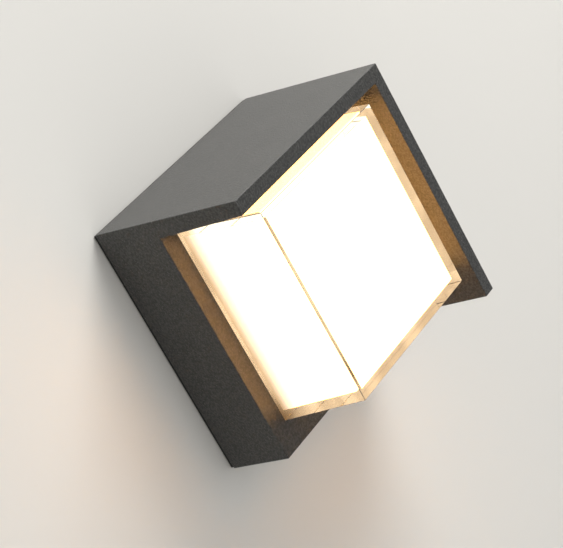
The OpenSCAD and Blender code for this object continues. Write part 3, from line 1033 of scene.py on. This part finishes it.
@dataclass
class Casting(SubAssembly):
    """Die-cast box and hood, its ejector pads, and the foam gasket on its rim.

    Attributes:
        edge: Radius of the casting's outer edges.
        shortest: Edges of the casting shorter than this stay sharp.
        seal_edge: Radius of the gasket's edges.
        pad_radius: Radius of an ejector pad.
        pad_height: How far a pad stands out.
        pad_spread: Distance of the outer pads from the middle.
    """

    edge: float = 0.55 * MM
    shortest: float = 6 * MM
    seal_edge: float = 0.3 * MM
    pad_radius: float = 3.5 * MM
    pad_height: float = 0.35 * MM
    pad_spread: float = 62 * MM

    def build(self) -> None:
        """Rounds the casting's long edges and adds the pads behind its front wall."""
        self.soften("housing", "casting", COAT, self.edge, self.shortest)
        self.soften("rim_gasket", "rim_seal", FOAM, self.seal_edge)
        back_of_wall = Lamp.extent("driver_case")[1].z
        ring = [(u, v) for u in (-1, 0, 1) for v in (-1, 0, 1) if (u, v) != (0, 0)]
        spots = [Lamp.at(u * self.pad_spread, v * self.pad_spread, back_of_wall) for u, v in ring]
        self.scatter("ejector_pads", SpotShape.DISC, spots, self.pad_radius, self.pad_height, -Lamp.OUT, COAT)


@dataclass
class BlockShade(SubAssembly):
    """Clear outer shade, milky diffuser, their seal, screws and washers.

    Attributes:
        clear_edge: Width of the flat ground along the clear shade's edges.
        sharp_foot: How far up from the box the clear shade's edges stay sharp.
        milky_edge: Radius of the diffuser's edges.
        shortest: Edges of the diffuser shorter than this stay sharp.
        seal_edge: Radius of the seal's edges.
        fade: How far from its foot the diffuser comes up to full light.
        bond: How far the clear shade's front is pressed into the diffuser's, to leave no air there.
    """

    clear_edge: float = 0.22 * MM
    sharp_foot: float = 5 * MM
    milky_edge: float = 0.3 * MM
    shortest: float = 8 * MM
    seal_edge: float = 0.15 * MM
    fade: float = 9 * MM
    bond: float = 0.15 * MM

    def build(self) -> None:
        """Cuts the edges of both shades and their seal, and sets where the diffuser's light fades."""
        box_front = Lamp.extent("thermal_pad")[0].z
        milky_front = Lamp.extent("inner_diffuser")[1].z
        clear = ClearAcrylic("clear_acrylic", "clear_acrylic")
        milky = MilkyAcrylic("milky_acrylic", "milky_acrylic", foot=box_front, face=milky_front,
                             fade=self.fade)
        # The clear shade's cut edges wear the chamfer that is painted dark as shade.
        self.soften("outer_shade", "clear_shade", clear, self.clear_edge,
                    edge_finish=GROUND_EDGE_PAINTED_DARK, foot=box_front + self.sharp_foot)
        self.press(self.pieces[-1].shape.data, milky_front)
        self.soften("inner_diffuser", "milky_shade", milky, self.milky_edge, self.shortest)
        self.soften("shade_gasket", "shade_seal", SILICONE, self.seal_edge)
        self.keep(STAINLESS, "shade_screws")
        self.keep(RUBBER, "shade_screw_washers")

    def press(self, clear: bpy.types.Mesh, front: float) -> None:
        """Moves the inner side of the clear shade's front into the diffuser.

        Args:
            clear: The clear shade's mesh.
            front: Height of the diffuser's front over the wall.
        """
        on_the_front = 0.2 * MM
        for vertex in clear.vertices:
            if abs(vertex.co.dot(Lamp.OUT) - front) < on_the_front:
                vertex.co -= Lamp.OUT * self.bond


@dataclass
class LightEngine(SubAssembly):
    """Chip board, chips and their phosphor domes, heat pad, screws and solder joints.

    Attributes:
        board_edge: Radius of the board's edges.
        shortest: Edges of the board shorter than this stay sharp.
        chip_edge: Radius of a chip's edges.
        dome_radius: Radius of the phosphor over a chip.
        dome_height: How far the phosphor stands out.
        joint_radius: Radius of a solder joint.
        joint_height: How far a solder joint stands out.
    """

    board_edge: float = 0.12 * MM
    shortest: float = 6 * MM
    chip_edge: float = 0.1 * MM
    dome_radius: float = 1.1 * MM
    dome_height: float = 0.3 * MM
    joint_radius: float = 1.6 * MM
    joint_height: float = 0.9 * MM

    def build(self) -> None:
        """Puts a phosphor dome on each chip and a solder joint at each lead's end."""
        self.soften("led_board", "chip_board", WHITE_BOARD, self.board_edge, self.shortest)
        self.soften("led_chips", "chip_bodies", WHITE_PLASTIC, self.chip_edge)
        self.keep(HEAT_PAD, "thermal_pad")
        self.keep(STAINLESS, "board_screws")
        tops = [Lamp.at(*((low + high) / 2).xy, high.z) for low, high in Lamp.solids("led_chips")]
        self.scatter("phosphor_domes", SpotShape.DOME, tops, self.dome_radius, self.dome_height, Lamp.OUT,
                     Phosphor("lit_phosphor", "chip_phosphor"))
        board_top = Lamp.extent("led_board")[1].z
        ends = [self.lead_end(name, board_top) for name in ("led_lead_positive", "led_lead_negative")]
        self.scatter("board_solder", SpotShape.DOME, ends, self.joint_radius, self.joint_height, Lamp.OUT,
                     SOLDER)

    @staticmethod
    def lead_end(node: str, board_top: float) -> Vector:
        """Where a light lead is soldered: the middle of its outermost points over the board.

        Args:
            node: The lead's CAD node.
            board_top: Height of the board's top over the wall.

        Returns:
            A point on the board, in the row frame.
        """
        tip_length = 2 * MM
        points = points_of(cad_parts[node].data)
        u, v = points @ np.array(Lamp.U), points @ np.array(Lamp.V)
        over = points @ np.array(Lamp.OUT) > board_top
        middle = u[over].mean()
        side = np.sign(u[over][np.argmax(abs(u[over] - middle))] - middle)
        tip = over & (u * side > (u[over] * side).max() - tip_length)
        return Lamp.at(u[tip].mean(), v[tip].mean(), board_top)


@dataclass
class Driver(SubAssembly):
    """Driver case and lid, circuit board, transformer, capacitors and screws.

    Attributes:
        case_edge: Radius of the case's edges.
        case_shortest: Edges of the case shorter than this stay sharp.
        lid_edge: Radius of the lid's edges.
        board_edge: Radius of the board's edges.
        board_shortest: Edges of the board shorter than this stay sharp.
        tape_edge: Radius of the transformer's edges.
        rib_count: Ribs moulded on the lid.
        rib_radius: Radius of a rib's back.
        rib_spread: Share of the lid's width that the row of ribs takes up.
        rib_half: Half a rib's length as a share of the lid's.
    """

    case_edge: float = 0.5 * MM
    case_shortest: float = 3 * MM
    lid_edge: float = 0.25 * MM
    board_edge: float = 0.1 * MM
    board_shortest: float = 6 * MM
    tape_edge: float = 0.8 * MM
    rib_count: int = 9
    rib_radius: float = 0.55 * MM
    rib_spread: float = 0.7
    rib_half: float = 0.36

    def build(self) -> None:
        """Rounds the case and what is in it, and moulds a row of ribs on its lid."""
        self.soften("driver_case", "driver_tray", WHITE_PLASTIC, self.case_edge, self.case_shortest)
        self.soften("driver_cover", "driver_lid", WHITE_PLASTIC, self.lid_edge)
        self.soften("driver_board", "driver_circuit", GREEN_BOARD, self.board_edge, self.board_shortest)
        tape = WoundTape("yellow_tape", "yellow_tape")
        self.soften("driver_transformer", "transformer", tape, self.tape_edge)
        self.keep(SLEEVE, "driver_capacitors")
        self.keep(STAINLESS, "driver_screws")
        low, high = Lamp.extent("driver_cover")
        middle = (low + high) / 2
        step = (high.x - low.x) * self.rib_spread / (self.rib_count - 1)
        first = Lamp.at(middle.x - step * (self.rib_count - 1) / 2, middle.y, low.z)
        values = {
            "First": first[:], "Step": (Lamp.U * step)[:], "Count": self.rib_count,
            "Half": (Lamp.V * (high.y - low.y) * self.rib_half)[:], "Radius": self.rib_radius,
            "Finish": WHITE_PLASTIC.material()}
        ribs = run_nodes("driver_lid_ribs", rib_pattern(), [Vector()], values)
        self.pieces.append(Piece(ribs, WHITE_PLASTIC, self.body))


@dataclass
class Terminals(SubAssembly):
    """Terminal block, cord clamp and earth point, with their screws.

    Attributes:
        edge: Radius of the moulded pieces' edges.
        shortest: Edges shorter than this stay sharp.
    """

    edge: float = 0.3 * MM
    shortest: float = 3 * MM

    def build(self) -> None:
        """Rounds the moulded pieces and keeps the turned ones."""
        self.soften("terminal_block", "terminal_body", WHITE_PLASTIC, self.edge, self.shortest)
        self.soften("cord_clamp", "cord_saddle", WHITE_PLASTIC, self.edge, self.shortest)
        self.keep(BRASS, "terminal_clamps", "earth_lug", "earth_screw")
        self.keep(STAINLESS, "terminal_screws", "terminal_block_screws", "cord_clamp_screws")


@dataclass
class Wiring(SubAssembly):
    """The leads between the driver, the terminals, the earth point and the chip board."""

    def build(self) -> None:
        """Rounds each lead and gives it its own colour."""
        skins = {
            "live_lead": WireSkin("brown_lead", "brown_lead", (0.13, 0.045, 0.018)),
            "neutral_lead": WireSkin("blue_lead", "blue_lead", (0.02, 0.08, 0.32)),
            "earth_lead": WireSkin("green_lead", "green_lead", (0.03, 0.22, 0.04), (0.75, 0.62, 0.04)),
            "led_lead_positive": WireSkin("red_lead", "red_lead", (0.42, 0.014, 0.01)),
            "led_lead_negative": WireSkin("black_lead", "black_lead", (0.014, 0.014, 0.014)),
        }
        for lead, skin in skins.items():
            self.keep(skin, lead, smooth=True)
        self.keep(RUBBER, "lead_grommet")


@dataclass
class LockScrew(SubAssembly):
    """One of the two screws that lock the casting to the wall plate, with its ring seal.

    Attributes:
        number: 1 or 2.
    """

    number: int = 1

    def build(self) -> None:
        """Keeps the turned screw and its seal."""
        self.keep(STAINLESS, f"lock_screw_{self.number}")
        self.keep(RUBBER, f"lock_seal_{self.number}")


@dataclass
class WallBracket(SubAssembly):
    """Galvanised plate on the wall and the grommet for the supply cable.

    Attributes:
        edge: Radius of the sheet's edges.
        shortest: Edges shorter than this stay sharp.
    """

    edge: float = 0.25 * MM
    shortest: float = 4 * MM

    def build(self) -> None:
        """Rounds the sheet's edges."""
        self.soften("wall_plate", "fixing_plate", ZINC, self.edge, self.shortest)
        self.keep(RUBBER, "cable_grommet")


# ---------------------------------------------------------------- studio


@dataclass(frozen=True)
class PalePaint:
    """Matt paint of the studio's wall and floor.

    Attributes:
        name: The material's name.
        colour: Its colour.
        one_sided: Whether it can be looked through from behind.
    """

    name: str
    colour: Colour
    one_sided: bool = False

    def material(self) -> bpy.types.Material:
        """Makes a matt paint with a faint roller texture.

        Returns:
            The material.
        """
        made = bpy.data.materials.new(self.name)
        made.use_nodes = True
        made.node_tree.nodes.clear()
        sheet = NodeSheet(made.node_tree)
        roller = sheet.noise(900, 3.0)
        shader = sheet.node("ShaderNodeBsdfPrincipled", None, {
            "Base Color": (*self.colour, 1), "Roughness": 0.85, "Specular IOR Level": 0.2,
            "Normal": sheet.bump(roller, 0.02 * MM)})
        if self.one_sided:
            behind = sheet.node("ShaderNodeNewGeometry", output="Backfacing")
            clear = sheet.node("ShaderNodeBsdfTransparent")
            shader = sheet.node("ShaderNodeMixShader", None, {0: behind, 1: shader, 2: clear})
        sheet.node("ShaderNodeOutputMaterial", None, {"Surface": shader})
        return made


@dataclass(frozen=True)
class SoftBox:
    """A large soft light.

    Attributes:
        name: Its name.
        place: Where it hangs.
        aim: What it points at.
        size: Side of its square face.
        power: Its power in watts.
        colour: Its colour.
    """

    name: str
    place: Point
    aim: Point
    size: float
    power: float
    colour: Colour = (1.0, 1.0, 1.0)

    def build(self) -> None:
        """Hangs the light."""
        light = bpy.data.lights.new(self.name, "AREA")
        light.shape = "SQUARE"
        light.size = self.size
        light.energy = self.power
        light.color = self.colour
        made = bpy.data.objects.new(self.name, light)
        made.location = self.place
        made.rotation_euler = (Vector(self.aim) - Vector(self.place)).to_track_quat("-Z", "Y").to_euler()
        bpy.context.scene.collection.objects.link(made)


@dataclass(frozen=True)
class Camera:
    """Where the picture is taken from.

    Attributes:
        aim: The point in the middle of the picture.
        azimuth: Degrees round from the front, towards +X.
        elevation: Degrees above the horizon.
        roll: Degrees that the camera leans.
        distance: From the aim to the camera.
        lens: Focal length in millimetres.
    """

    aim: Point = (-0.0172, -0.05, -0.0093)
    azimuth: float = -46.49
    elevation: float = -15.28
    roll: float = 1.41
    distance: float = 0.9774
    lens: float = 118.4

    def build(self) -> None:
        """Sets up the camera and makes it the scene's own."""
        turn, rise, lean = (math.radians(x) for x in (self.azimuth, self.elevation, self.roll))
        back = Vector((math.sin(turn) * math.cos(rise), -math.cos(turn) * math.cos(rise), math.sin(rise)))
        level = Vector((0, 0, 1)).cross(back).normalized()
        upright = back.cross(level)
        right = level * math.cos(lean) + upright * math.sin(lean)
        up = upright * math.cos(lean) - level * math.sin(lean)
        data = bpy.data.cameras.new("camera")
        data.lens = self.lens
        data.clip_start = 0.01
        made = bpy.data.objects.new("camera", data)
        turned = Matrix((right, up, back)).transposed().to_4x4()
        made.matrix_world = Matrix.Translation(Vector(self.aim) + back * self.distance) @ turned
        bpy.context.scene.collection.objects.link(made)
        bpy.context.scene.camera = made


@dataclass
class Studio:
    """A pale wall and floor, soft lights and the camera.

    Attributes:
        reach: Half width of the wall and the floor.
        drop: Distance of the floor below the lamp.
        top: Height of the wall above the lamp.
        gap: Distance of the studio's wall behind the part's back face.
        hidden: How far inside the fixing plate's sides the wall is open, to let light in from behind.
        shade_bounces: How often light may turn inside the thick clear shade.
        wall_paint: Paint of the wall.
        floor_paint: Paint of the floor.
        boxes: The soft lights.
        sky: Colour of the light from all round.
    """

    reach: float = 3.0
    drop: float = 1.3
    top: float = 2.5
    gap: float = 0.2 * MM
    hidden: float = 4 * MM
    shade_bounces: int = 24
    wall_paint: PalePaint = PalePaint("wall_paint", (0.735, 0.722, 0.685), True)
    floor_paint: PalePaint = PalePaint("floor_paint", (0.80, 0.79, 0.77))
    boxes: tuple[SoftBox, ...] = (
        SoftBox("overhead", (-0.40, -0.80, 1.75), (0, 0, 0), 1.2, 44.0, (1.0, 0.99, 0.97)),
        SoftBox("front_fill", (0.2, -2.6, 0.4), (0, 0, 0), 1.8, 17.0),
    )
    sky: Colour = (0.30, 0.30, 0.305)

    def build(self) -> None:
        """Builds the wall, the floor, the lights, the world and the camera."""
        low, high, wide, back = -self.drop, self.top, self.reach, self.gap
        span = math.sqrt(2) * (Lamp.extent("wall_plate")[1].x - self.hidden)
        rim = [(-wide, back, low), (wide, back, low), (wide, back, high), (-wide, back, high)]
        opening = [(0, back, -span), (span, back, 0), (0, back, span), (-span, back, 0)]
        around = [(0, 1, 4), (1, 5, 4), (1, 2, 5), (2, 6, 5), (2, 3, 6), (3, 7, 6), (3, 0, 7), (0, 4, 7)]
        self.sheet_of("studio_wall", self.wall_paint, rim + opening, around)
        ground = [(-wide, -2 * wide, low), (wide, -2 * wide, low), (wide, wide, low), (-wide, wide, low)]
        self.sheet_of("studio_floor", self.floor_paint, ground, [(0, 1, 2, 3)])
        for box in self.boxes:
            box.build()
        world = bpy.data.worlds.new("pale_room")
        world.use_nodes = True
        world.node_tree.nodes["Background"].inputs["Color"].default_value = (*self.sky, 1)
        bpy.context.scene.world = world
        bpy.context.scene.view_settings.view_transform = "Standard"
        light_paths = bpy.context.scene.cycles
        light_paths.max_bounces = self.shade_bounces
        light_paths.glossy_bounces = self.shade_bounces
        light_paths.transmission_bounces = self.shade_bounces
        Camera().build()

    @staticmethod
    def sheet_of(name: str, paint: PalePaint, corners: Sequence[Point],
                 faces: Sequence[tuple[int, ...]]) -> None:
        """Makes one flat studio surface.

        Args:
            name: Its name.
            paint: Its paint.
            corners: Its corners.
            faces: The corners of each of its faces, anticlockwise as seen from its front.
        """
        mesh = bpy.data.meshes.new(name)
        mesh.from_pydata(corners, [], faces)
        made = link_new(name, mesh)
        mesh.materials.append(paint.material())


def main() -> None:
    """Builds and dresses everything."""
    logging.basicConfig(level=logging.INFO, format="%(name)s: %(message)s")
    Studio().build()
    lamp = [
        Casting("lamp"), BlockShade("lamp"), LightEngine("lamp"), Driver("lamp"), Terminals("lamp"),
        Wiring("lamp"), WallBracket("wall_bracket"),
        LockScrew("lock_screw_1", number=1), LockScrew("lock_screw_2", number=2)]
    for group in lamp:
        group.build()
        group.dress()


if __name__ == "__main__":
    main()
